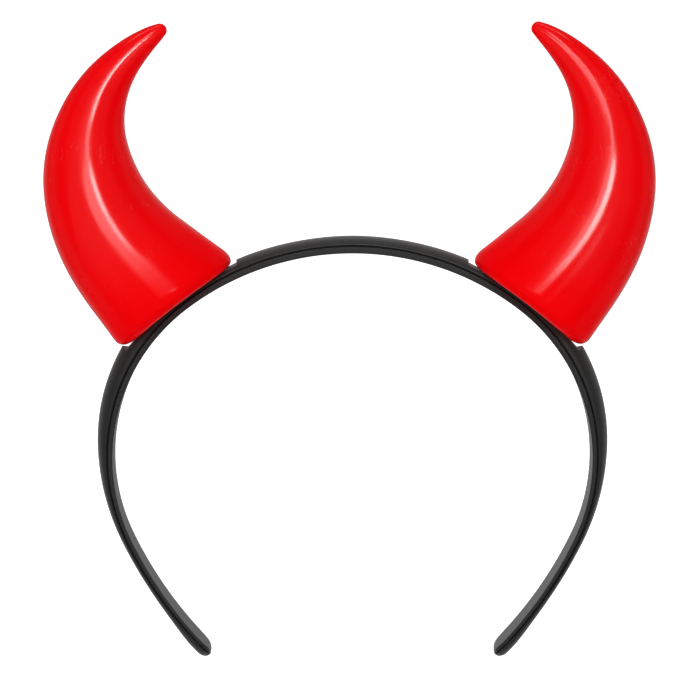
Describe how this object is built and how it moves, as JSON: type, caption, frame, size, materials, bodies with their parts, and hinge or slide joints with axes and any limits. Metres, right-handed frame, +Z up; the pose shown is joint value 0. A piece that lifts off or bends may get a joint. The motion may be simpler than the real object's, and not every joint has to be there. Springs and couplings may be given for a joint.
{
  "type": "devil horns headband",
  "caption": "Moulded black headband that carries a hollow, curved red horn on each side of its crown.",
  "frame": {"origin": "on the surface that the headband lies on, under the middle of its bounding box", "axes": "+X to the wearer's left, which is the right of a front view, +Y from the band's ends towards the horns, +Z up from the surface, out of the headband's front"},
  "size_m": [0.166, 0.1732, 0.0376],
  "materials": {
    "black_band_plastic": "satin moulded",
    "red_horn_plastic": "high gloss",
    "plain_post_plastic": "plain"
  },
  "bodies": {
    "root": {"headband": "black_band_plastic", "horn_left": "red_horn_plastic", "horn_right": "red_horn_plastic", "fixing_post_left": "plain_post_plastic", "fixing_post_right": "plain_post_plastic"}
  },
  "joints": []
}
